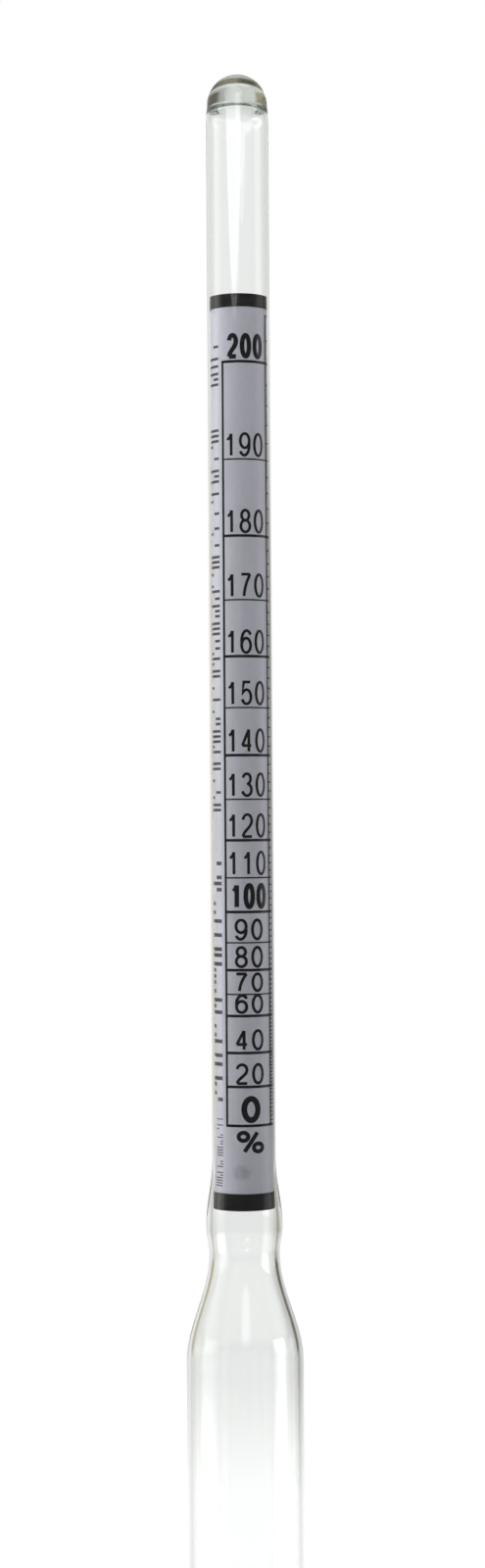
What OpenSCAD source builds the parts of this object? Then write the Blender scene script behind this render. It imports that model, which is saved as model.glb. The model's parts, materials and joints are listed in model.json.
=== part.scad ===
// Alcohol hydrometer: a sealed glass float with a slim stem, a rolled paper
// scale inside the stem and steel shot held in the foot by a plug of wax.
// Millimetres. The origin is the lowest point of the foot, +Z runs up the
// stem, and the readings face -Y.

/* [Scale] */
// Distance from the lowest mark to the highest mark
scale_length = 114; // [90:1:120]
// Height of the lowest mark, the waterline in plain water
zero_height = 162; // [158:0.5:180]
// Width of the black band at the top of the sheet
top_band_width = 2.0; // [1:0.1:4]
// Width of the black band at the foot of the sheet
bottom_band_width = 2.5; // [1:0.1:3]

/* [Stem] */
// Outside diameter of the stem
stem_diameter = 9.5; // [9:0.1:10.5]
// Thickness of the stem's wall
stem_wall = 0.35; // [0.35:0.05:0.5]
// Length of stem above the highest mark
stem_above_scale = 44.7; // [30:0.1:60]
// Solid glass above the end of the bore
dome_thickness = 4.4; // [2:0.1:6]

/* [Float] */
// Outside diameter of the float
float_diameter = 17.4; // [16:0.1:20]
// Thickness of the float's wall
float_wall = 0.79; // [0.6:0.01:0.88]
// Outside diameter of the fused collar under the stem
collar_diameter = 11.4; // [11.2:0.1:12]
// Outside diameter of the waist under the collar
waist_diameter = 10.5; // [10.3:0.1:11]
// Outside diameter of the foot that holds the shot
foot_diameter = 14; // [14:0.1:15]
// Height of the top of the foot's straight part
foot_height = 25; // [20:1:27]

/* [Ballast] */
// Diameter of one ball of shot
shot_diameter = 4; // [3.6:0.1:4]
// Layers of six balls round the middle column
shot_layers = 6; // [4:1:6]
// Depth of wax above the middle of the top layer
wax_depth = 6; // [4:0.5:8]

/* [Hidden] */

$fn = 96;
curve_steps = 14;

// Glass envelope, levels below the lowest mark
flare_start = zero_height - 5.5;
seam_level = zero_height - 13.4;
collar_level = zero_height - 15.2;
waist_level = zero_height - 19.3;
shoulder_level = zero_height - 35.5;
taper_height = 14;
bore_radius = stem_diameter / 2 - stem_wall;
float_bore = float_diameter / 2 - float_wall;
foot_bore = foot_diameter / 2 - float_wall;
collar_bore = bore_radius + 0.5;
waist_bore = bore_radius + 0.15;

// Dome: a half ball that meets the stem along a short cone
total_height = zero_height + scale_length + stem_above_scale;
dome_radius = stem_diameter / 2 - 0.15;
dome_blend = 2;
bore_end_rise = 1.8;

// Sheet: rolled a little past one turn, with its seam at the back
sheet_thickness = 0.1;
sheet_overlap = 14;
sheet_growth = 0.12;
sheet_inner = bore_radius - 0.3;
sheet_outer = sheet_inner + sheet_thickness + sheet_growth * (360 + sheet_overlap) / 360;
sheet_top = zero_height + scale_length + 10.3;
sheet_bottom = zero_height - 12.5;
film_gap = 0.01;
film_thickness = 0.04;

// Shot: a middle column with rings of six that nest by half a step
shot_radius = shot_diameter / 2;
shot_gap = 0.05;
ring_radius = shot_diameter + shot_gap;
ring_pitch = 0.875 * shot_diameter;
column_start = float_wall + shot_radius + shot_gap;
ring_start = foot_diameter / 2 - sqrt(pow(foot_bore - shot_radius - shot_gap, 2) - pow(ring_radius, 2));
shot_top = ring_start + (shot_layers - 1) * ring_pitch;

// Smooth step from 0 to 1, level at both ends
function ease(t) = (1 - cos(180 * t)) / 2;

// Points from [r0, z0] to [r1, z1] along the smooth step, without the last one
function eased(r0, z0, r1, z1) = [
    for (i = [0 : curve_steps - 1])
        [r0 + (r1 - r0) * ease(i / curve_steps), z0 + (z1 - z0) * i / curve_steps]
];

// The flare from the stem to the collar, cut off at the fused seam
function flare(radius, collar_radius) = concat(
    [for (point = eased(radius, flare_start, collar_radius, collar_level))
        if (point[1] > seam_level) point],
    [[flare_end(radius, collar_radius), seam_level]]
);
function flare_end(radius, collar_radius) =
    radius + (collar_radius - radius) * ease((flare_start - seam_level) / (flare_start - collar_level));
seam_radius = flare_end(stem_diameter / 2, collar_diameter / 2);
seam_bore = flare_end(bore_radius, collar_bore);

module stem_outside() {
    polygon(concat(
        [[0, total_height]],
        [for (a = [6 : 6 : 90]) [
            dome_radius * sin(a), total_height - dome_radius + dome_radius * cos(a)
        ]],
        [[stem_diameter / 2, total_height - dome_radius - dome_blend]],
        flare(stem_diameter / 2, collar_diameter / 2),
        [[0, seam_level]]
    ));
}

module stem_inside() {
    bore_end = total_height - dome_thickness - bore_end_rise;
    polygon(concat(
        [for (a = [0 : 10 : 90]) [bore_radius * sin(a), bore_end + bore_end_rise * cos(a)]],
        flare(bore_radius, collar_bore),
        [[seam_bore, seam_level - 1], [0, seam_level - 1]]
    ));
}

// Drawn tube with a solid domed tip, flared where it is fused to the float
module stem_tube() {
    color([0.9, 0.95, 0.93, 0.4])
        rotate_extrude()
            difference() {
                stem_outside();
                stem_inside();
            }
}

// Wall of a foot or its bore: a round end, a straight side and the taper above it
function foot_profile(radius, full_radius, end_level) = concat(
    [for (a = [0 : 10 : 90]) [radius * sin(a), end_level + radius * (1 - cos(a))]],
    eased(radius, foot_height, full_radius, foot_height + taper_height),
    [[full_radius, foot_height + taper_height]]
);

module float_outside() {
    polygon(concat(
        foot_profile(foot_diameter / 2, float_diameter / 2, 0),
        eased(float_diameter / 2, shoulder_level, waist_diameter / 2, waist_level),
        eased(waist_diameter / 2, waist_level, collar_diameter / 2, collar_level),
        [[collar_diameter / 2, collar_level], [seam_radius, seam_level], [0, seam_level]]
    ));
}

module float_inside() {
    polygon(concat(
        foot_profile(foot_bore, float_bore, float_wall),
        eased(float_bore, shoulder_level, waist_bore, waist_level),
        eased(waist_bore, waist_level, collar_bore, collar_level),
        [[collar_bore, collar_level], [seam_bore, seam_level], [0, seam_level]]
    ));
}

// Blown float: collar, waist, shoulder, long body and tapered foot
module float_bulb() {
    color([0.88, 0.94, 0.92, 0.4])
        rotate_extrude()
            difference() {
                float_outside();
                float_inside();
            }
}

// One face of the rolled sheet, its radius growing with the angle from the seam
function roll(offset_in, from, to, step) = [
    for (a = [from : step : to])
        (sheet_inner + offset_in + sheet_growth * a / 360) * [sin(a + 180), -cos(a + 180)]
];

// Scale sheet rolled into a tube, with a short overlap
module scale_sheet() {
    turn = 360 + sheet_overlap;
    step = turn / 88;
    color([0.93, 0.93, 0.95])
        translate([0, 0, sheet_bottom])
            linear_extrude(sheet_top - sheet_bottom)
                polygon(concat(
                    roll(0, 0, turn + step / 2, step),
                    roll(sheet_thickness, turn, -step / 2, -step)
                ));
}

// Thin ring of film round the sheet
module film_ring(level, height) {
    translate([0, 0, level])
        rotate_extrude()
            translate([sheet_outer + film_gap, 0])
                square([film_thickness, height]);
}

module scale_band_top() {
    color([0.08, 0.08, 0.08])
        film_ring(sheet_top - top_band_width, top_band_width);
}

module scale_band_bottom() {
    color([0.08, 0.08, 0.08])
        film_ring(sheet_bottom, bottom_band_width);
}

// Spot of glue between the sheet and the glass, under the lowest mark
module scale_glue() {
    spot_width = 3.2;
    spot_height = 2.4;
    spot_level = zero_height - 7.5;
    color([0.75, 0.72, 0.6, 0.6])
        intersection() {
            film_ring(spot_level - spot_height / 2, spot_height);
            translate([0, 0, spot_level])
                rotate([90, 0, 0])
                    cylinder(d = spot_width, h = stem_diameter);
        }
}

// Centres of all the balls
shot_centres = concat(
    [for (i = [0 : shot_layers - 1]) [0, 0, column_start + i * (shot_diameter + shot_gap)]],
    [for (i = [0 : shot_layers - 1], k = [0 : 5])
        let (turn = 60 * k + 30 * (i % 2))
        [ring_radius * cos(turn), ring_radius * sin(turn), ring_start + i * ring_pitch]]
);

// Steel shot, packed in the foot
module ballast_shot() {
    color([0.6, 0.61, 0.63])
        for (centre = shot_centres)
            translate(centre)
                sphere(d = shot_diameter);
}

// Wax poured over the shot, moulded round the top layer
module ballast_seal() {
    wax_gap = 0.02;
    crown = 0.8;
    color([0.55, 0.12, 0.1])
        difference() {
            rotate_extrude()
                intersection() {
                    foot_room(wax_gap);
                    polygon([
                        [0, shot_top], [foot_diameter, shot_top],
                        [foot_diameter, shot_top + wax_depth],
                        [foot_bore, shot_top + wax_depth],
                        [0, shot_top + wax_depth - crown]
                    ]);
                }
            for (centre = shot_centres)
                translate(centre)
                    sphere(d = shot_diameter + 2 * wax_gap);
        }
}

// Half section of the room inside the foot, drawn in by a small gap
module foot_room(gap) {
    polygon(concat(
        [for (point = foot_profile(foot_bore, float_bore, float_wall))
            [max(point[0] - gap, 0), point[1]]],
        [[0, foot_height + taper_height]]
    ));
}

stem_tube();
float_bulb();
scale_sheet();
scale_band_top();
scale_band_bottom();
scale_glue();
ballast_shot();
ballast_seal();
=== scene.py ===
"""Alcohol hydrometer: a glass float with a paper scale in its stem, shot and wax in its foot."""
import json
import math
import random

import bmesh
import bpy
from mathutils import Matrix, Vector


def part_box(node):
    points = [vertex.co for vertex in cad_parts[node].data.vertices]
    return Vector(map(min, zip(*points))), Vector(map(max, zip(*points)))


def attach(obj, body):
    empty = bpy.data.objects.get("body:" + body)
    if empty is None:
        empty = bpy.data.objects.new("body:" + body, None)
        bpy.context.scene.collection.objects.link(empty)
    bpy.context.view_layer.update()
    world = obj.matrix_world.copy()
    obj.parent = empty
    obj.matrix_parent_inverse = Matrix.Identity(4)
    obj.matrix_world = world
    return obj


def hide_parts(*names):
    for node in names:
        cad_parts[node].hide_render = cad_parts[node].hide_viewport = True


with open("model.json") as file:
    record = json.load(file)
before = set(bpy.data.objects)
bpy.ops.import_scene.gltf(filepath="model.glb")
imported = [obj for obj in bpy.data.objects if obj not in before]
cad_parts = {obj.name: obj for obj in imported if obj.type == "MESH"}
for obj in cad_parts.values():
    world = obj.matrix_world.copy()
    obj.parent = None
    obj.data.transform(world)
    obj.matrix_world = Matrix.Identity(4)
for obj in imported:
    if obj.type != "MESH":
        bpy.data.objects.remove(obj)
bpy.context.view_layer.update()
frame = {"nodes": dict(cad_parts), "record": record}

MM = 0.001
TAU = 2 * math.pi

# ---------------------------------------------------------------- sizes from the frame, in mm


def box_mm(node):
    """Lowest and highest corners of a CAD node, in mm."""
    low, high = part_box(node)
    return low / MM, high / MM


mounts = {mount["name"]: mount for mount in frame["record"]["mounts"]}
stem_high = box_mm("stem_tube")[1]
sheet_low, sheet_high = box_mm("scale_sheet")
band_low, band_high = box_mm("scale_band_bottom")
top_band_low, top_band_high = box_mm("scale_band_top")
glue_low, glue_high = box_mm("scale_glue")

SHEET_BELOW_ZERO = 12.5
SHEET_ABOVE_SCALE = 10.3

STEM_RADIUS = mounts["stem_grip"]["dims"]["r_mm"]
FLOAT_RADIUS = mounts["float_body"]["dims"]["r_mm"]
TOTAL_HEIGHT = stem_high.z
ZERO_LEVEL = sheet_low.z + SHEET_BELOW_ZERO
SCALE_LENGTH = sheet_high.z - SHEET_ABOVE_SCALE - ZERO_LEVEL

# Smear of glue: its middle stands a little above and to the left of the CAD spot's
GLUE_RISE = 0.6
GLUE_LEVEL = (glue_low.z + glue_high.z) / 2 + GLUE_RISE
GLUE_OFFSET = -0.37
GLUE_AZIMUTH = -5.0
GLUE_HALF_HEIGHT = 1.3
GLUE_HALF_WIDTH = 1.5
GLUE_HALF_TURN = 20.0

# ---------------------------------------------------------------- small helpers


def ease(t):
    """Smooth step from 0 to 1, level at both ends."""
    return (1 - math.cos(math.pi * t)) / 2


def eased(r0, z0, r1, z1, steps=16):
    """Profile points along the smooth step, without the last one."""
    return [(r0 + (r1 - r0) * ease(i / steps), z0 + (z1 - z0) * i / steps) for i in range(steps)]


def new_object(name, mesh, material, smooth=True):
    """Link a mesh as a named piece that rides on the one body."""
    mesh.materials.append(material)
    for face in mesh.polygons:
        face.use_smooth = smooth
    piece = bpy.data.objects.new(name, mesh)
    bpy.context.scene.collection.objects.link(piece)
    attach(piece, "root")
    return piece


def lathe(build, profile, segments, flip=False):
    """Spin (radius, height) points in mm about the axis into a bmesh; a zero radius is a pole."""
    rings = []
    for radius, height in profile:
        if radius < 1e-6:
            rings.append([build.verts.new((0, 0, height * MM))])
            continue
        rings.append([
            build.verts.new((
                radius * MM * math.sin(TAU * i / segments),
                -radius * MM * math.cos(TAU * i / segments),
                height * MM,
            ))
            for i in range(segments)
        ])
    for lower, upper in zip(rings, rings[1:]):
        for i in range(segments):
            j = (i + 1) % segments
            below = [lower[i % len(lower)], lower[j % len(lower)]]
            above = [upper[j % len(upper)], upper[i % len(upper)]]
            corners = list(dict.fromkeys(below + above))
            build.faces.new(corners[::-1] if flip else corners)


def finish_mesh(build, name):
    """Turn a bmesh into a named mesh."""
    mesh = bpy.data.meshes.new(name)
    build.to_mesh(mesh)
    build.free()
    return mesh


# ---------------------------------------------------------------- materials


def node_material(name):
    """A material with a Principled shader, its tree and the shader."""
    material = bpy.data.materials.new(name)
    material.use_nodes = True
    tree = material.node_tree
    return material, tree, tree.nodes["Principled BSDF"]


def add_noise(tree, scale, stretch=(1, 1, 1), detail=3.0):
    """Noise in object space; stretch is how much each axis is scaled."""
    place = tree.nodes.new("ShaderNodeTexCoord")
    mapping = tree.nodes.new("ShaderNodeMapping")
    noise = tree.nodes.new("ShaderNodeTexNoise")
    mapping.inputs["Scale"].default_value = stretch
    noise.inputs["Scale"].default_value = scale
    noise.inputs["Detail"].default_value = detail
    tree.links.new(place.outputs["Object"], mapping.inputs["Vector"])
    tree.links.new(mapping.outputs["Vector"], noise.inputs["Vector"])
    return noise.outputs["Fac"]


def add_ramp(tree, value, stops):
    """Colour ramp over a value; stops are (position, colour)."""
    ramp = tree.nodes.new("ShaderNodeValToRGB")
    while len(ramp.color_ramp.elements) < len(stops):
        ramp.color_ramp.elements.new(0.5)
    for element, (position, colour) in zip(ramp.color_ramp.elements, stops):
        element.position = position
        element.color = (*colour, 1)
    tree.links.new(value, ramp.inputs["Fac"])
    return ramp.outputs["Color"]


def add_range(tree, value, low, high, from_low=0.0, from_high=1.0):
    """Map a value from one range to another, held at its ends."""
    span = tree.nodes.new("ShaderNodeMapRange")
    span.inputs["From Min"].default_value = from_low
    span.inputs["From Max"].default_value = from_high
    span.inputs["To Min"].default_value = low
    span.inputs["To Max"].default_value = high
    tree.links.new(value, span.inputs["Value"])
    return span.outputs["Result"]


def add_bump(tree, value, strength, distance):
    """Bumped normal from a height; distance is in metres."""
    bump = tree.nodes.new("ShaderNodeBump")
    bump.inputs["Strength"].default_value = strength
    bump.inputs["Distance"].default_value = distance
    tree.links.new(value, bump.inputs["Height"])
    return bump.outputs["Normal"]


def add_math(tree, operation, *values):
    """Result of a Math node over numbers or sockets."""
    node = tree.nodes.new("ShaderNodeMath")
    node.operation = operation
    for socket, value in zip(node.inputs, values):
        if isinstance(value, (int, float)):
            socket.default_value = value
        else:
            tree.links.new(value, socket)
    return node.outputs["Value"]


def glass_material():
    """Clear lamp-worked tubing: a trace of green and faint draw lines along the tube."""
    material, tree, shader = node_material("hydrometer_glass")
    shader.inputs["Transmission Weight"].default_value = 1.0
    shader.inputs["IOR"].default_value = 1.5
    draw_lines = add_noise(tree, 900.0, (1, 1, 0.012), 2.0)
    tint = add_ramp(tree, draw_lines, [(0.3, (0.975, 0.985, 0.978)), (0.7, (0.992, 1.0, 0.995))])
    tree.links.new(tint, shader.inputs["Base Color"])
    tree.links.new(add_range(tree, draw_lines, 0.0, 0.012), shader.inputs["Roughness"])
    tree.links.new(add_bump(tree, draw_lines, 0.12, 0.00002), shader.inputs["Normal"])
    body = tree.nodes.new("ShaderNodeVolumeAbsorption")
    body.inputs["Color"].default_value = (0.9, 0.909, 0.899, 1)
    body.inputs["Density"].default_value = 600.0
    tree.links.new(body.outputs["Volume"], tree.nodes["Material Output"].inputs["Volume"])
    return material


def paper_material():
    """Uncoated sheet, white with a trace of blue, with faint fibres."""
    material, tree, shader = node_material("scale_paper")
    fibres = add_noise(tree, 2600.0, (1, 1, 0.35), 6.0)
    shades = [(0.25, (0.76, 0.75, 0.86)), (0.6, (0.81, 0.8, 0.905)), (0.85, (0.85, 0.84, 0.94))]
    tint = add_ramp(tree, fibres, shades)
    tree.links.new(tint, shader.inputs["Base Color"])
    tree.links.new(add_range(tree, fibres, 0.75, 0.95), shader.inputs["Roughness"])
    tree.links.new(add_bump(tree, fibres, 0.25, 0.00003), shader.inputs["Normal"])
    return material


def ink_material():
    """Matt black printing ink, a little uneven."""
    material, tree, shader = node_material("scale_ink")
    speckle = add_noise(tree, 5000.0, (1, 1, 1), 4.0)
    tint = add_ramp(tree, speckle, [(0.3, (0.002, 0.002, 0.004)), (0.8, (0.009, 0.009, 0.014))])
    tree.links.new(tint, shader.inputs["Base Color"])
    tree.links.new(add_range(tree, speckle, 0.7, 0.9), shader.inputs["Roughness"])
    shader.inputs["Specular IOR Level"].default_value = 0.2
    return material


def band_material():
    """Black film with a fine grain."""
    material, tree, shader = node_material("black_band")
    grain = add_noise(tree, 1800.0, (1, 1, 3), 5.0)
    tint = add_ramp(tree, grain, [(0.3, (0.002, 0.002, 0.002)), (0.75, (0.008, 0.008, 0.008))])
    tree.links.new(tint, shader.inputs["Base Color"])
    tree.links.new(add_range(tree, grain, 0.5, 0.7), shader.inputs["Roughness"])
    shader.inputs["Specular IOR Level"].default_value = 0.25
    tree.links.new(add_bump(tree, grain, 0.2, 0.00002), shader.inputs["Normal"])
    return material


def glue_material():
    """Dried glue, cloudy, densest in the middle of the spot and thinning out to its edge."""
    material, tree, shader = node_material("glue")
    cloud = add_noise(tree, 900.0, (1, 1, 1), 3.0)
    tint = add_ramp(tree, cloud, [(0.3, (0.32, 0.35, 0.45)), (0.75, (0.44, 0.47, 0.58))])
    tree.links.new(tint, shader.inputs["Base Color"])
    tree.links.new(add_range(tree, cloud, 0.35, 0.6), shader.inputs["Roughness"])
    place = tree.nodes.new("ShaderNodeTexCoord")
    spot = tree.nodes.new("ShaderNodeMapping")
    spot.vector_type = "TEXTURE"
    spot.inputs["Location"].default_value = (GLUE_OFFSET * MM, 0, GLUE_LEVEL * MM)
    spot.inputs["Scale"].default_value = (GLUE_HALF_WIDTH * MM, 1, GLUE_HALF_HEIGHT * MM)
    tree.links.new(place.outputs["Object"], spot.inputs["Vector"])
    reach = tree.nodes.new("ShaderNodeVectorMath")
    reach.operation = "LENGTH"
    tree.links.new(spot.outputs["Vector"], reach.inputs[0])
    body = add_range(tree, reach.outputs["Value"], 1.0, 0.0, 0.3, 1.15)
    body.node.interpolation_type = "SMOOTHSTEP"
    density = add_range(tree, cloud, 0.05, 0.2, 0.3, 0.7)
    tree.links.new(add_math(tree, "MULTIPLY", body, density), shader.inputs["Alpha"])
    return material


def steel_material():
    """Worn bright steel."""
    material, tree, shader = node_material("shot_steel")
    shader.inputs["Metallic"].default_value = 1.0
    wear = add_noise(tree, 1400.0, (1, 1, 1), 5.0)
    tint = add_ramp(tree, wear, [(0.3, (0.34, 0.34, 0.35)), (0.7, (0.58, 0.58, 0.59))])
    tree.links.new(tint, shader.inputs["Base Color"])
    tree.links.new(add_range(tree, wear, 0.16, 0.4), shader.inputs["Roughness"])
    tree.links.new(add_bump(tree, wear, 0.15, 0.00004), shader.inputs["Normal"])
    return material


def wax_material():
    """Dark red sealing wax, cloudy and slightly translucent."""
    material, tree, shader = node_material("sealing_wax")
    cloud = add_noise(tree, 420.0, (1, 1, 1), 4.0)
    tint = add_ramp(tree, cloud, [(0.3, (0.2, 0.02, 0.014)), (0.75, (0.34, 0.045, 0.03))])
    tree.links.new(tint, shader.inputs["Base Color"])
    tree.links.new(add_range(tree, cloud, 0.3, 0.5), shader.inputs["Roughness"])
    tree.links.new(add_bump(tree, cloud, 0.3, 0.0002), shader.inputs["Normal"])
    shader.inputs["Subsurface Weight"].default_value = 0.15
    shader.inputs["Subsurface Radius"].default_value = (0.002, 0.0008, 0.0005)
    return material


def floor_material():
    """Pale matt table top with a faint mottle."""
    material, tree, shader = node_material("studio_floor")
    mottle = add_noise(tree, 12.0, (1, 1, 1), 3.0)
    tint = add_ramp(tree, mottle, [(0.3, (0.68, 0.68, 0.67)), (0.7, (0.75, 0.75, 0.74))])
    tree.links.new(tint, shader.inputs["Base Color"])
    shader.inputs["Roughness"].default_value = 0.7
    return material


GLASS = glass_material()
PAPER = paper_material()
INK = ink_material()
BAND = band_material()
STEEL = steel_material()
WAX = wax_material()
GLUE = glue_material()

# ---------------------------------------------------------------- glass envelope, in mm

ARC_STEP = 3
SHOULDER_STEPS = 28
BLEND_STEPS = 4

STEM_WALL = 0.35
FLOAT_WALL = 0.79
BORE_RADIUS = STEM_RADIUS - STEM_WALL
FLARE_START = ZERO_LEVEL - 5.5
COLLAR_LEVEL = ZERO_LEVEL - 15.2
WAIST_LEVEL = ZERO_LEVEL - 19.3
SHOULDER_LEVEL = ZERO_LEVEL - 35.5
COLLAR_RADIUS = 5.7
WAIST_RADIUS = 5.25
FOOT_RADIUS = 7.0
FOOT_HEIGHT = 25.0
TAPER_HEIGHT = 14.0
DOME_RADIUS = STEM_RADIUS - 0.15
DOME_BLEND = 2.0
DOME_THICKNESS = 4.4
BORE_END_RISE = 1.8
COLLAR_CLEARANCE = 0.5
WAIST_CLEARANCE = 0.15
GLASS_SEGMENTS = 288


def quarter(radius, level, step=6):
    """Lower quarter of a ball's outline, from the pole to the widest ring."""
    return [
        (radius * math.sin(math.radians(a)), level + radius * (1 - math.cos(math.radians(a))))
        for a in range(0, 90, step)
    ]


def outer_profile():
    """Outside of the whole envelope, from the foot's tip to the top of the dome."""
    taper_top = FOOT_HEIGHT + TAPER_HEIGHT
    dome_base = TOTAL_HEIGHT - DOME_RADIUS
    points = quarter(FOOT_RADIUS, 0) + [(FOOT_RADIUS, FOOT_RADIUS)]
    points += eased(FOOT_RADIUS, FOOT_HEIGHT, FLOAT_RADIUS, taper_top)
    points += [(FLOAT_RADIUS, taper_top)]
    points += eased(FLOAT_RADIUS, SHOULDER_LEVEL, WAIST_RADIUS, WAIST_LEVEL, SHOULDER_STEPS)
    points += eased(WAIST_RADIUS, WAIST_LEVEL, COLLAR_RADIUS, COLLAR_LEVEL)
    points += eased(COLLAR_RADIUS, COLLAR_LEVEL, STEM_RADIUS, FLARE_START)
    points += [(STEM_RADIUS, FLARE_START)]
    points += eased(STEM_RADIUS, dome_base - DOME_BLEND, DOME_RADIUS, dome_base, BLEND_STEPS)
    points += [
        (DOME_RADIUS * math.cos(math.radians(a)), dome_base + DOME_RADIUS * math.sin(math.radians(a)))
        for a in range(0, 90, ARC_STEP)
    ]
    return points + [(0, TOTAL_HEIGHT)]


def inner_profile():
    """Inside of the envelope, from the foot to the end of the bore."""
    taper_top = FOOT_HEIGHT + TAPER_HEIGHT
    foot_bore = FOOT_RADIUS - FLOAT_WALL
    float_bore = FLOAT_RADIUS - FLOAT_WALL
    waist_bore = BORE_RADIUS + WAIST_CLEARANCE
    collar_bore = BORE_RADIUS + COLLAR_CLEARANCE
    bore_end = TOTAL_HEIGHT - DOME_THICKNESS - BORE_END_RISE
    points = quarter(foot_bore, FLOAT_WALL) + [(foot_bore, FLOAT_WALL + foot_bore)]
    points += eased(foot_bore, FOOT_HEIGHT, float_bore, taper_top)
    points += [(float_bore, taper_top)]
    points += eased(float_bore, SHOULDER_LEVEL, waist_bore, WAIST_LEVEL, SHOULDER_STEPS)
    points += eased(waist_bore, WAIST_LEVEL, collar_bore, COLLAR_LEVEL)
    points += eased(collar_bore, COLLAR_LEVEL, BORE_RADIUS, FLARE_START)
    points += [(BORE_RADIUS, FLARE_START)]
    points += [
        (BORE_RADIUS * math.cos(math.radians(a)), bore_end + BORE_END_RISE * math.sin(math.radians(a)))
        for a in range(0, 90, ARC_STEP)
    ]
    return points + [(0, bore_end + BORE_END_RISE)]


def glass_envelope():
    """Stem and float as the one sealed piece of glass that the flame makes of them."""
    build = bmesh.new()
    lathe(build, outer_profile(), GLASS_SEGMENTS)
    lathe(build, inner_profile(), GLASS_SEGMENTS, flip=True)
    piece = new_object("glass_envelope", finish_mesh(build, "glass_envelope"), GLASS)
    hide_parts("stem_tube", "float_bulb")
    return piece


# ---------------------------------------------------------------- scale sheet, in mm

SHEET_THICKNESS = 0.1
SHEET_GROWTH = 0.12
SHEET_OVERLAP = 14
SHEET_CLEARANCE = 0.26
SHEET_INNER = BORE_RADIUS - SHEET_CLEARANCE
SHEET_STEPS = 288
SPRING_START = ZERO_LEVEL - 4.5
SPRING_LENGTH = 8
SPRING_WIDTH = 0.25


def roll_radius(turn):
    """Inner radius of the rolled sheet at an angle in degrees from its seam."""
    return SHEET_INNER + SHEET_GROWTH * turn / 360


def print_radius(azimuth):
    """Outside of the sheet at an azimuth in degrees, 0 at the front and positive to +X."""
    return roll_radius(azimuth + 180) + SHEET_THICKNESS


def opening(height):
    """How far the sheet's lower end springs open into the flare."""
    share = (SPRING_START - height) / SPRING_LENGTH
    return SPRING_WIDTH * ease(min(max(share, 0.0), 1.0))


def on_sheet(azimuth, height, lift):
    """Point in metres on the sheet's outside, lifted by a little."""
    radius = (print_radius(azimuth) + opening(height) + lift) * MM
    angle = math.radians(azimuth)
    return (radius * math.sin(angle), -radius * math.cos(angle), height * MM)


def scale_sheet():
    """Paper rolled a little past one turn, seam at the back, its lower end sprung open."""
    build = bmesh.new()
    levels = [sheet_low.z + i for i in range(9)] + [sheet_high.z]
    columns = []
    for i in range(SHEET_STEPS + 1):
        turn = i * (360 + SHEET_OVERLAP) / SHEET_STEPS
        angle = math.radians(turn - 180)
        direction = Vector((math.sin(angle), -math.cos(angle), 0))
        column = []
        for level in levels:
            for thickness in (0, SHEET_THICKNESS):
                radius = roll_radius(turn) + thickness + opening(level)
                column.append(build.verts.new(direction * radius * MM + Vector((0, 0, level * MM))))
        columns.append(column)
    last = len(levels) - 1
    for first, second in zip(columns, columns[1:]):
        for k in range(last):
            low, high = 2 * k, 2 * k + 2
            build.faces.new((first[low + 1], second[low + 1], second[high + 1], first[high + 1]))
            build.faces.new((first[high], second[high], second[low], first[low]))
        build.faces.new((first[0], second[0], second[1], first[1]))
        build.faces.new((first[-1], second[-1], second[-2], first[-2]))
    for k in range(last):
        low, high = 2 * k, 2 * k + 2
        start, end = columns[0], columns[-1]
        build.faces.new((start[low], start[low + 1], start[high + 1], start[high]))
        build.faces.new((end[high], end[high + 1], end[low + 1], end[low]))
    piece = new_object("scale_paper", finish_mesh(build, "scale_paper"), PAPER)
    mark_sharp(piece)
    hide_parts("scale_sheet")
    return piece


def mark_sharp(piece, angle=40):
    """Keep corners crisp on a smooth-shaded piece."""
    build = bmesh.new()
    build.from_mesh(piece.data)
    for edge in build.edges:
        if len(edge.link_faces) == 2 and edge.calc_face_angle(0) > math.radians(angle):
            edge.smooth = False
    build.to_mesh(piece.data)
    build.free()


# ---------------------------------------------------------------- printing on the sheet, in mm

LEFT_RULE = -36.0
RIGHT_RULE = 60.0
TICK_RULE = 90.0
NUMERAL_CENTRE = 12.5
INK_LIFT = 0.008
INK_THICKNESS = 0.012
THICK_LINE = 0.4
THIN_LINE = 0.22
RULE_WIDTH = 0.36
TICK_WIDTH = 0.2
LONGEST_STEP = 0.2
# Shapes that cross are lifted by different numbers of layers, so that no two faces coincide
LAYER = 0.002


def mark_height(proof):
    """Height of a proof mark: the marks stand closest near 30 and spread towards strong spirit."""
    t = proof / 200
    share = 0.576 * t - 0.976 * t**2 + 2.477 * t**3 - 1.231 * t**4 + 0.154 * t**12
    return ZERO_LEVEL + SCALE_LENGTH * share


def resample(points):
    """Split long steps of a line so that it follows the roll of the sheet."""
    result = [points[0]]
    for (x0, y0), (x1, y1) in zip(points, points[1:]):
        steps = max(1, math.ceil(abs(x1 - x0) / LONGEST_STEP))
        result += [(x0 + (x1 - x0) * i / steps, y0 + (y1 - y0) * i / steps) for i in range(1, steps + 1)]
    return result


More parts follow.
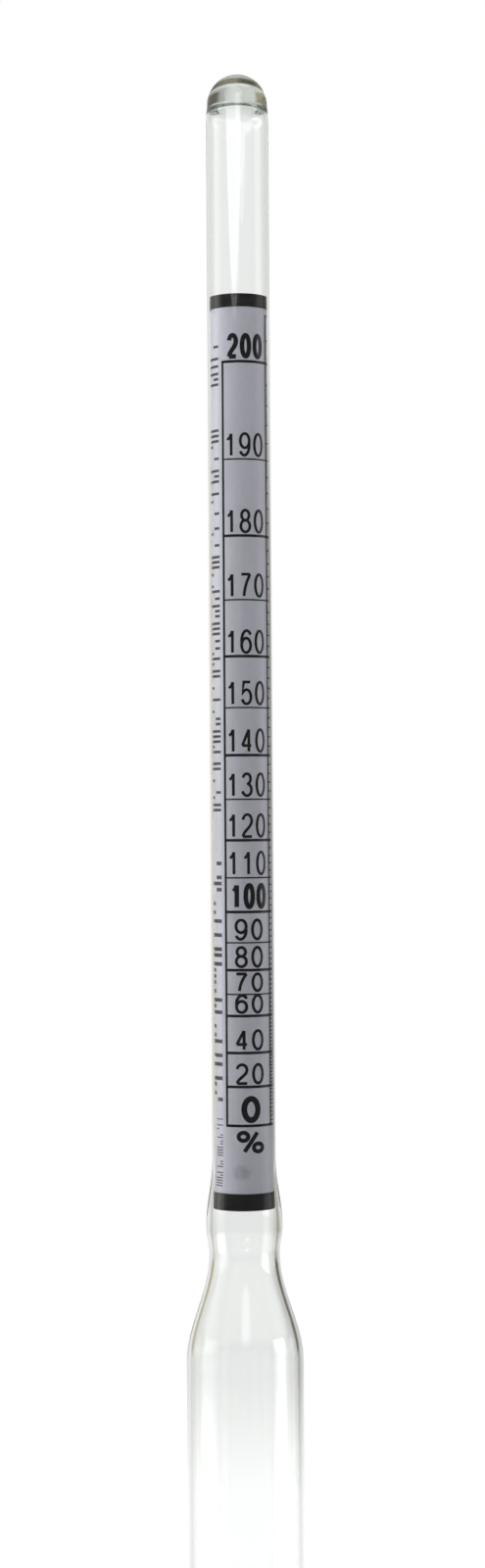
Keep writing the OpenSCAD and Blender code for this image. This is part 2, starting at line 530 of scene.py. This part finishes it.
class Print:
    """Collects flat ink shapes wrapped on the sheet."""

    def __init__(self):
        self.build = bmesh.new()

    def strip(self, points, width, lift=0.0):
        """Ribbon of constant width along (arc length, height) points in mm, mitred at its corners."""
        least_cosine = 0.45
        points = resample(points)
        left, right = [], []
        count = len(points)
        closed = math.dist(points[0], points[-1]) < 1e-6
        for i, (x, y) in enumerate(points):
            before = points[i - 1] if i else (points[-2] if closed else None)
            after = points[i + 1] if i < count - 1 else (points[1] if closed else None)
            directions = []
            if before:
                directions.append(Vector((x - before[0], y - before[1])).normalized())
            if after:
                directions.append(Vector((after[0] - x, after[1] - y)).normalized())
            along = sum(directions, Vector((0, 0))).normalized()
            normal = Vector((-along.y, along.x))
            stretch = 1 / max(least_cosine, abs(along.dot(directions[0])))
            offset = normal * (width / 2 * stretch)
            left.append((x + offset.x, y + offset.y))
            right.append((x - offset.x, y - offset.y))
        self.bridge(left, right, lift)

    def bridge(self, left, right, lift=0.0):
        """Faces between two edges, in lanes narrow enough to follow the roll of the sheet."""
        widest = max(abs(a[0] - b[0]) for a, b in zip(left, right))
        lanes = max(1, math.ceil(widest / LONGEST_STEP))
        rows = []
        for k in range(lanes + 1):
            t = k / lanes
            row = [(a[0] + (b[0] - a[0]) * t, a[1] + (b[1] - a[1]) * t) for a, b in zip(left, right)]
            rows.append([self.vertex(point, lift) for point in row])
        for upper, lower in zip(rows, rows[1:]):
            for i in range(len(left) - 1):
                self.build.faces.new((upper[i], lower[i], lower[i + 1], upper[i + 1]))

    def vertex(self, point, lift):
        """Vertex on the sheet for an (arc length, height) point in mm."""
        arc, height = point
        azimuth = math.degrees(arc / print_radius(NUMERAL_CENTRE))
        return self.build.verts.new(on_sheet(azimuth, height, INK_LIFT + lift))

    def band(self, azimuth_0, azimuth_1, height_0, height_1, lift=0.0):
        """Rectangle between two azimuths and two heights."""
        steps = max(1, int(abs(azimuth_1 - azimuth_0) / 3))
        scale = math.radians(print_radius(NUMERAL_CENTRE))
        arcs = [(azimuth_0 + (azimuth_1 - azimuth_0) * i / steps) * scale for i in range(steps + 1)]
        self.bridge([(arc, height_1) for arc in arcs], [(arc, height_0) for arc in arcs], lift)

    def finish(self, name):
        """Give the shapes the ink's thickness and make them a piece."""
        bmesh.ops.remove_doubles(self.build, verts=self.build.verts[:], dist=1e-7)
        bmesh.ops.recalc_face_normals(self.build, faces=self.build.faces[:])
        piece = new_object(name, finish_mesh(self.build, name), INK, smooth=False)
        solid = piece.modifiers.new("ink_thickness", "SOLIDIFY")
        solid.thickness = INK_THICKNESS * MM
        solid.offset = 1.0
        return piece


def arc(centre, radii, start, end, steps=18):
    """Points on an ellipse between two angles in degrees, in the unit box of a glyph."""
    return [
        (
            centre[0] + radii[0] * math.cos(math.radians(start + (end - start) * i / steps)),
            centre[1] + radii[1] * math.sin(math.radians(start + (end - start) * i / steps)),
        )
        for i in range(steps + 1)
    ]


def bezier(p0, p1, p2, p3, steps=12):
    """Points on a cubic curve, without the first one."""
    points = []
    for i in range(1, steps + 1):
        t = i / steps
        a, b, c, d = (1 - t)**3, 3 * t * (1 - t)**2, 3 * t * t * (1 - t), t**3
        points.append((
            a * p0[0] + b * p1[0] + c * p2[0] + d * p3[0],
            a * p0[1] + b * p1[1] + c * p2[1] + d * p3[1],
        ))
    return points


def glyph_strokes(sign):
    """Centre lines of a plain upright numeral or percent sign in a unit box."""
    ring = arc((0.5, 0.5), (0.5, 0.5), 90, 450, 40)
    six = [arc((0.5, 0.33), (0.5, 0.33), 90, 450, 36), arc((0.56, 0.52), (0.56, 0.48), 38, 186, 24)]
    two_sweep = bezier((0.98, 0.72), (0.98, 0.42), (0.14, 0.3), (0.0, 0.0))
    seven_sweep = bezier((1.0, 1.0), (0.6, 0.7), (0.36, 0.35), (0.3, 0.0))
    strokes = {
        "0": [ring],
        "1": [[(0.6, 1.0), (0.6, 0.0)], [(0.16, 0.72), (0.44, 0.83), (0.6, 0.99)]],
        "2": [arc((0.5, 0.72), (0.48, 0.28), 172, 0) + two_sweep, [(0.0, 0.0), (1.0, 0.0)]],
        "3": [arc((0.47, 0.765), (0.42, 0.235), 168, -90), arc((0.48, 0.27), (0.5, 0.27), 90, -166)],
        "4": [[(0.0, 0.27), (1.0, 0.27)], [(0.0, 0.27), (0.72, 1.0)], [(0.72, 1.0), (0.72, 0.0)]],
        "5": [[(0.92, 1.0), (0.2, 1.0), (0.06, 0.49)] + arc((0.5, 0.325), (0.5, 0.325), 140, -160)],
        "6": six,
        "7": [[(0.0, 1.0), (1.0, 1.0)], [(1.0, 1.0)] + seven_sweep],
        "8": [arc((0.5, 0.765), (0.42, 0.235), 90, 450, 30), arc((0.5, 0.27), (0.5, 0.27), 90, 450, 32)],
        "9": [[(1 - x, 1 - y) for x, y in stroke] for stroke in six],
        "%": [
            arc((0.2, 0.79), (0.19, 0.21), 90, 450, 24),
            arc((0.8, 0.21), (0.19, 0.21), 90, 450, 24),
            [(0.24, 0.0), (0.76, 1.0)],
        ],
    }
    return strokes[sign]


def draw_numeral(ink, text, centre, base, digit_width, height, gap, stroke):
    """Write a numeral on the sheet; centre is an azimuth, base the height of its foot."""
    total = len(text) * digit_width + (len(text) - 1) * gap
    start = math.radians(centre) * print_radius(NUMERAL_CENTRE) - total / 2
    for i, sign in enumerate(text):
        left = start + i * (digit_width + gap) + stroke / 2
        for k, line in enumerate(glyph_strokes(sign)):
            points = [
                (left + x * (digit_width - stroke), base + stroke / 2 + y * (height - stroke))
                for x, y in line
            ]
            ink.strip(points, stroke, 2 * LAYER * k)


def scale_lines():
    """Upright rules, the marks across the columns and the ticks between them."""
    ink = Print()
    half = RULE_WIDTH / 2
    rule_turn = math.degrees(RULE_WIDTH / print_radius(0))
    tick_rule_turn = rule_turn * 0.8
    top_tick = 204
    foot, top = mark_height(0) - half, mark_height(top_tick) + half
    ink.band(LEFT_RULE, LEFT_RULE + rule_turn, foot, mark_height(200) + half)
    ink.band(RIGHT_RULE, RIGHT_RULE + rule_turn, foot, top, 2 * LAYER)
    ink.band(TICK_RULE, TICK_RULE + tick_rule_turn, foot, top, 2 * LAYER)
    thick = {0, 20, 40, 60, 80, 100, 120, 140, 160, 180, 200}
    thin = {70, 90, 110, 130, 150, 170, 190}
    for proof in range(0, top_tick + 1, 2):
        level = mark_height(proof)
        if proof in thick:
            ink.band(LEFT_RULE, TICK_RULE, level - THICK_LINE / 2, level + THICK_LINE / 2, LAYER)
        elif proof in thin:
            ink.band(LEFT_RULE, TICK_RULE, level - THIN_LINE / 2, level + THIN_LINE / 2, LAYER)
        else:
            ink.band(RIGHT_RULE, TICK_RULE, level - TICK_WIDTH / 2, level + TICK_WIDTH / 2, LAYER)
    return ink.finish("scale_lines")


def scale_numerals():
    """Numerals of the main column, each standing on its mark, and a percent sign under the lowest."""
    ink = Print()
    for proof in (110, 120, 130, 140, 150, 160, 170, 180, 190):
        base = mark_height(proof) + 0.33
        draw_numeral(ink, str(proof), 11.0, base, digit_width=1.75, height=3.7, gap=0.4, stroke=0.42)
    for proof, height in ((90, 3.28), (80, 3.28), (70, 2.95), (60, 2.95), (40, 3.2), (20, 3.2)):
        base = mark_height(proof) + 0.3
        draw_numeral(ink, str(proof), 13.5, base, digit_width=1.92, height=height, gap=0.5, stroke=0.44)
    for proof in (200, 100):
        base = mark_height(proof) + 0.4
        draw_numeral(ink, str(proof), 13.8, base, digit_width=1.74, height=3.9, gap=0.2, stroke=0.68)
    draw_numeral(ink, "0", 14.8, mark_height(0) + 0.4, digit_width=2.9, height=4.0, gap=0.4, stroke=0.86)
    draw_numeral(ink, "%", 14.0, mark_height(0) - 4.1, digit_width=4.3, height=3.4, gap=0.4, stroke=0.6)
    return ink.finish("scale_numerals")


def percent_column():
    """Second column round the back: whole percents, ten apart, each at twice its value in proof."""
    ink = Print()
    centre, far_rule, far_rule_turn = 130.0, 165.0, 3
    tallest, share_of_gap, foot_gap = 3.2, 0.7, 0.3
    for percent in range(0, 101, 10):
        level = mark_height(2 * percent)
        ink.band(TICK_RULE, far_rule, level - THIN_LINE / 2, level + THIN_LINE / 2, LAYER)
        tall = min(tallest, (mark_height(2 * percent + 20) - level) * share_of_gap)
        base = level + foot_gap
        draw_numeral(ink, str(percent), centre, base, digit_width=1.5, height=tall, gap=0.35, stroke=0.3)
    half = RULE_WIDTH / 2
    ink.band(far_rule, far_rule + far_rule_turn, mark_height(0) - half, mark_height(200) + half, 2 * LAYER)
    return ink.finish("percent_column")


def filler_dashes():
    """Plain dashes of two lengths in the left margin, with no lettering.

    A run is (lowest level above the 0 mark, highest level, pitch, a dash's weight, azimuth of its far end).
    """
    ink = Print()
    rng = random.Random(7)
    inner, outer, small_outer = -44.0, -78.0, -62.0
    long_odds, short_share = 0.55, 0.42
    runs = (
        (-9.0, 1.0, 0.55, 0.16, small_outer),
        (3.5, 39.5, 1.3, 0.55, outer),
        (46.5, 89.5, 1.1, 0.4, outer),
        (91.0, 104.0, 1.15, 0.4, outer),
        (110.5, 117.3, 1.15, 0.4, outer),
    )
    for low, high, pitch, weight, reach in runs:
        level = low
        while level < high:
            long_dash = rng.random() < long_odds
            start = inner if long_dash else rng.choice((inner, (inner + reach) / 2 - 2))
            end = reach if long_dash else start + (reach - inner) * short_share
            ink.band(end, start, ZERO_LEVEL + level, ZERO_LEVEL + level + weight)
            level += pitch * rng.choice((0.7, 0.7, 1.0, 1.6))
    return ink.finish("margin_dashes")


# ---------------------------------------------------------------- bands, glue, shot and wax


def film_ring(name, low, high, node):
    """Black band with softened edges round the sheet."""
    thickness, edge, steps = 0.04, 0.012, 6
    inner, outer = high.x - thickness, high.x
    build = bmesh.new()
    levels = [low.z + edge + (high.z - low.z - 2 * edge) * i / steps for i in range(steps + 1)]
    profile = [(outer - edge + opening(low.z), low.z)]
    profile += [(outer + opening(level), level) for level in levels]
    profile += [(outer - edge + opening(high.z), high.z), (inner + opening(high.z), high.z)]
    profile += [(inner + opening(level), level) for level in reversed(levels)]
    profile += [(inner + opening(low.z), low.z), profile[0]]
    lathe(build, profile, 192)
    bmesh.ops.remove_doubles(build, verts=build.verts[:], dist=1e-8)
    piece = new_object(name, finish_mesh(build, name), BAND)
    mark_sharp(piece)
    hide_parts(node)
    return piece


def glue_spot():
    """Thin dried smear of glue on the sheet, thickest in its middle, with a ragged edge."""
    segments, rings = 48, 6
    clearance, thickness = 0.004, 0.025
    build = bmesh.new()
    skins = []
    for swell in (thickness, 0.0):
        skin = [[build.verts.new(on_sheet(GLUE_AZIMUTH, GLUE_LEVEL, clearance + swell))]]
        for k in range(1, rings + 1):
            reach = k / rings
            lift = clearance + swell * (1 - reach**2)
            ring = []
            for i in range(segments):
                angle = TAU * i / segments
                ragged = 1.05 - 0.13 * math.cos(4 * angle) + 0.05 * math.sin(3 * angle + 1)
                turn = GLUE_AZIMUTH + GLUE_HALF_TURN * reach * ragged * math.cos(angle)
                height = GLUE_LEVEL + GLUE_HALF_HEIGHT * reach * ragged * math.sin(angle)
                ring.append(build.verts.new(on_sheet(turn, height, lift)))
            skin.append(ring)
        skins.append(skin)
    for skin in skins:
        for inner, outer in zip(skin, skin[1:]):
            for i in range(segments):
                j = (i + 1) % segments
                loop = (inner[i % len(inner)], outer[i], outer[j], inner[j % len(inner)])
                build.faces.new(list(dict.fromkeys(loop)))
    bmesh.ops.remove_doubles(build, verts=build.verts[:], dist=1e-8)
    bmesh.ops.recalc_face_normals(build, faces=build.faces[:])
    piece = new_object("glue_smear", finish_mesh(build, "glue_smear"), GLUE)
    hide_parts("scale_glue")
    return piece


def shot_islands():
    """Centre and radius of every ball in the CAD node."""
    build = bmesh.new()
    build.from_mesh(frame["nodes"]["ballast_shot"].data)
    bmesh.ops.remove_doubles(build, verts=build.verts[:], dist=1e-7)
    seen, balls = set(), []
    for vertex in build.verts:
        if vertex in seen:
            continue
        stack, island = [vertex], []
        seen.add(vertex)
        while stack:
            here = stack.pop()
            island.append(here.co.copy())
            for edge in here.link_edges:
                other = edge.other_vert(here)
                if other not in seen:
                    seen.add(other)
                    stack.append(other)
        low = Vector([min(co[i] for co in island) for i in range(3)])
        high = Vector([max(co[i] for co in island) for i in range(3)])
        balls.append(((low + high) / 2, (high - low).z / 2))
    build.free()
    return sorted(balls, key=lambda ball: (round(ball[0].z, 6), round(ball[0].x, 6), round(ball[0].y, 6)))


def ballast_shot():
    """Steel shot: balls with tiny flats where they were tumbled together."""
    flat_count, flat_edge, flat_depth = 7, 0.93, 0.35
    rng = random.Random(11)
    build = bmesh.new()
    for centre, radius in shot_islands():
        made = bmesh.ops.create_icosphere(build, subdivisions=4, radius=radius)["verts"]
        flats = [Vector([rng.gauss(0, 1) for _ in range(3)]).normalized() for _ in range(flat_count)]
        for vertex in made:
            direction = vertex.co.normalized()
            dent = sum(max(0.0, direction.dot(flat) - flat_edge) for flat in flats)
            vertex.co = direction * radius * (1 - flat_depth * dent) + centre
    piece = new_object("steel_shot", finish_mesh(build, "steel_shot"), STEEL)
    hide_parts("ballast_shot")
    return piece


def wax_seal():
    """The CAD plug keeps its shape and gets its finish."""
    plug = frame["nodes"]["ballast_seal"]
    plug.data.materials.clear()
    plug.data.materials.append(WAX)


# ---------------------------------------------------------------- stage, light and camera


def add_floor():
    """Round pale table top, thin, with a bevelled rim."""
    radius, thickness, rim, segments = 300.0, 4.0, 1, 96
    profile = [
        (0, -thickness), (radius - rim, -thickness), (radius, -thickness + rim),
        (radius, -rim), (radius - rim, 0), (0, 0),
    ]
    build = bmesh.new()
    lathe(build, profile, segments)
    mesh = finish_mesh(build, "studio_floor")
    mesh.materials.append(floor_material())
    floor = bpy.data.objects.new("studio_floor", mesh)
    bpy.context.scene.collection.objects.link(floor)


def outward(azimuth, elevation):
    """Unit vector away from the object; azimuth 0 is the camera's side and 90 is +X."""
    turn, lift = math.radians(azimuth), math.radians(elevation)
    return Vector((math.sin(turn) * math.cos(lift), -math.cos(turn) * math.cos(lift), math.sin(lift)))


def add_light(name, azimuth, elevation, distance, width, height, power, aim_height):
    """White soft box aimed at the axis; azimuth 0 is at the camera's side, positive to +X."""
    light = bpy.data.lights.new(name, "AREA")
    light.shape = "ELLIPSE"
    light.size = width
    light.size_y = height
    light.energy = power
    lamp = bpy.data.objects.new(name, light)
    away = outward(azimuth, elevation)
    lamp.location = Vector((0, 0, aim_height)) + away * distance
    lamp.rotation_euler = (-away).to_track_quat("-Z", "Y").to_euler()
    bpy.context.scene.collection.objects.link(lamp)


def add_surroundings(tree, direction, middle, zones, spots=()):
    """Light by direction: a first ring of tones, which gives way to other rings above and below it.

    A ring is a list of (azimuth in degrees, colour) from -180 to 180, with 0 at the camera's side.
    A zone is (sine of the height where it starts, sine of the height where it is complete, ring).
    A spot is (azimuth, elevation, angle of its bright core, angle where it ends, colour).
    """
    split = tree.nodes.new("ShaderNodeSeparateXYZ")
    tree.links.new(direction, split.inputs["Vector"])
    x, y, z = (split.outputs[axis] for axis in "XYZ")
    turn = add_math(tree, "ARCTAN2", x, add_math(tree, "MULTIPLY", y, -1.0))
    share = add_range(tree, turn, 0.0, 1.0, -math.pi, math.pi)

    def ring_colour(ring):
        return add_ramp(tree, share, [((azimuth + 180) / 360, tone) for azimuth, tone in ring])

    colour = ring_colour(middle)
    for start, complete, ring in zones:
        mix = tree.nodes.new("ShaderNodeMix")
        mix.data_type = "RGBA"
        tree.links.new(add_range(tree, z, 0.0, 1.0, start, complete), mix.inputs["Factor"])
        tree.links.new(colour, mix.inputs["A"])
        tree.links.new(ring_colour(ring), mix.inputs["B"])
        colour = mix.outputs["Result"]
    for azimuth, elevation, core, edge, tone in spots:
        dot = tree.nodes.new("ShaderNodeVectorMath")
        dot.operation = "DOT_PRODUCT"
        dot.inputs[1].default_value = outward(azimuth, elevation)
        tree.links.new(direction, dot.inputs[0])
        edge_cosine, core_cosine = math.cos(math.radians(edge)), math.cos(math.radians(core))
        bright = add_range(tree, dot.outputs["Value"], 0.0, 1.0, edge_cosine, core_cosine)
        bright.node.interpolation_type = "SMOOTHSTEP"
        glow = tree.nodes.new("ShaderNodeMix")
        glow.data_type = "RGBA"
        glow.blend_type = "ADD"
        glow.inputs["B"].default_value = (*tone, 1)
        tree.links.new(bright, glow.inputs["Factor"])
        tree.links.new(colour, glow.inputs["A"])
        colour = glow.outputs["Result"]
    return colour


def grey(level):
    """Neutral tone."""
    return (level, level, level)


def olive(level):
    """Warm dark tone, as at the edges of thick glass."""
    return (level * 1.16, level * 1.02, level * 0.66)


def add_world():
    """White backdrop, bright strips left and right, olive dark between them and a dim room in front.

    The middle ring lies above the horizon, between level and high. The rings that follow level
    lie lower and lower.
    """
    world = bpy.data.worlds.new("studio")
    bpy.context.scene.world = world
    world.use_nodes = True
    tree = world.node_tree
    background = tree.nodes["Background"]
    place = tree.nodes.new("ShaderNodeTexCoord")
    left, right, room = 1.15, 0.8, 0.21
    sides = [
        (-101, grey(left)), (-80, grey(left)), (-68, grey(room)), (68, grey(room)), (78, grey(right)),
        (104, grey(right)),
    ]
    middle = [
        (-180, grey(1.0)), (-172, grey(1.0)), (-160, grey(0.86)), (-138, grey(0.8)), (-128, olive(0.2)),
        (-107, olive(0.2)), *sides, (110, olive(0.18)), (128, olive(0.18)), (140, grey(0.8)),
        (172, grey(1.0)), (180, grey(1.0)),
    ]
    level = [
        (-180, grey(1.0)), (-155, grey(1.0)), (-148, olive(0.45)), (-132, olive(0.35)), (-107, olive(0.25)),
        *sides, (110, olive(0.08)), (131, olive(0.08)), (148, olive(0.14)), (156, grey(0.62)),
        (168, grey(0.85)), (174, grey(1.0)), (180, grey(1.0)),
    ]
    neck = [
        (-180, grey(1.0)), (-160, grey(1.0)), (-150, grey(0.9)), (-138, grey(0.7)), (-128, olive(0.25)),
        (-107, olive(0.25)), *sides, (110, olive(0.15)), (131, olive(0.3)), (150, grey(0.6)),
        (165, grey(0.85)), (174, grey(1.0)), (180, grey(1.0)),
    ]
    high = [
        (-180, grey(0.9)), (-145, grey(0.8)), (-130, olive(0.2)), (-107, olive(0.2)), (-101, grey(8.5)),
        (-80, grey(8.5)), (-60, grey(0.25)), (60, grey(0.25)), (75, grey(2.8)), (105, grey(2.8)),
        (112, olive(0.2)), (130, olive(0.2)), (145, grey(0.8)), (180, grey(0.9)),
    ]
    low = [
        (-180, grey(1.25)), (-166, grey(1.25)), (-156, grey(0.95)), (-107, grey(0.9)), (-101, grey(7.0)),
        (-80, grey(7.0)), (-65, grey(0.12)), (60, grey(0.12)), (75, grey(2.4)), (105, grey(2.4)),
        (112, grey(0.9)), (156, grey(0.95)), (166, grey(1.25)), (180, grey(1.25)),
    ]
    deep = [
        (-180, olive(0.26)), (-170, olive(0.1)), (-150, olive(0.1)), (-107, olive(0.25)), (-101, grey(8.5)),
        (-80, grey(8.5)), (-65, grey(0.4)), (60, grey(0.4)), (75, grey(2.4)), (105, grey(2.4)),
        (112, olive(0.2)), (150, olive(0.22)), (180, olive(0.3)),
    ]
    below = [(-180, grey(0.8)), (180, grey(0.8))]
    zones = (
        (0.42, 0.6, high),
        (0.2, 0.12, level),
        (-0.11, -0.15, neck),
        (-0.195, -0.24, low),
        (-0.29, -0.36, deep),
        (-0.56, -0.66, below),
    )
    colour = add_surroundings(tree, place.outputs["Generated"], middle, zones)
    tree.links.new(colour, background.inputs["Color"])
    background.inputs["Strength"].default_value = 1.0


def add_reflection_tent():
    """What the glass mirrors: pale behind and at the left, dark in front, so black print stays black."""
    tent_radius = 20.0
    build = bmesh.new()
    bmesh.ops.create_icosphere(build, subdivisions=4, radius=tent_radius)
    mesh = finish_mesh(build, "reflection_tent")
    material = bpy.data.materials.new("reflection_tent")
    material.use_nodes = True
    tree = material.node_tree
    tree.nodes.remove(tree.nodes["Principled BSDF"])
    glow = tree.nodes.new("ShaderNodeEmission")
    place = tree.nodes.new("ShaderNodeTexCoord")
    unit = tree.nodes.new("ShaderNodeVectorMath")
    unit.operation = "NORMALIZE"
    tree.links.new(place.outputs["Object"], unit.inputs[0])
    middle = [
        (-180, grey(0.7)), (-150, grey(0.6)), (-86, grey(0.9)), (-78, grey(0.13)), (-50, grey(0.05)),
        (0, grey(0.03)), (70, grey(0.04)), (95, grey(0.15)), (130, grey(0.2)), (165, grey(0.6)),
        (180, grey(0.7)),
    ]
    high = [
        (-180, olive(0.16)), (-135, olive(0.16)), (-120, grey(0.6)), (-90, grey(0.6)), (-70, olive(0.1)),
        (90, olive(0.1)), (180, olive(0.16)),
    ]
    low = [(-180, grey(1.0)), (180, grey(1.0))]
    zones = ((0.42, 0.55, high), (-0.19, -0.24, low))
    spots = ((2, 26, 1, 13, grey(2.6)), (8, -29, 2, 10, grey(3.0)))
    colour = add_surroundings(tree, unit.outputs["Vector"], middle, zones, spots)
    tree.links.new(colour, glow.inputs["Color"])
    glow.inputs["Strength"].default_value = 1.0
    tree.links.new(glow.outputs["Emission"], tree.nodes["Material Output"].inputs["Surface"])
    mesh.materials.append(material)
    tent = bpy.data.objects.new("reflection_tent", mesh)
    tent.visible_camera = False
    tent.visible_diffuse = False
    tent.visible_transmission = False
    tent.visible_shadow = False
    bpy.context.scene.collection.objects.link(tent)


def add_camera():
    """Camera a forearm's length away, a little below the middle of the scale, looking slightly up."""
    distance, height, pitch, roll = 0.4017, 0.207, 3.02, 0.3855
    data = bpy.data.cameras.new("camera")
    data.sensor_fit = "VERTICAL"
    data.sensor_height = 36.0
    data.sensor_width = 36.0
    data.lens = 61.22
    data.shift_x = 0.0005
    data.shift_y = -0.0659
    data.clip_start = 0.01
    camera = bpy.data.objects.new("camera", data)
    camera.location = (0.0, -distance, height)
    camera.rotation_euler = (math.radians(90 + pitch), math.radians(roll), 0)
    bpy.context.scene.collection.objects.link(camera)
    bpy.context.scene.camera = camera


def set_render():
    """Plain view transform, and enough bounces for glass within glass."""
    scene = bpy.context.scene
    scene.view_settings.view_transform = "Standard"
    scene.cycles.max_bounces = 32
    scene.cycles.transmission_bounces = 32
    scene.cycles.glossy_bounces = 16
    scene.cycles.caustics_reflective = True
    scene.cycles.caustics_refractive = True


add_camera()
glass_envelope()
scale_sheet()
scale_lines()
scale_numerals()
percent_column()
filler_dashes()
film_ring("band_top", top_band_low, top_band_high, "scale_band_top")
film_ring("band_bottom", band_low, band_high, "scale_band_bottom")
glue_spot()
ballast_shot()
wax_seal()
add_floor()
add_world()
add_reflection_tent()
add_light(
    "key_box", azimuth=-15, elevation=38, distance=0.34,
    width=0.4, height=0.32, power=0.7, aim_height=0.29,
)
set_render()
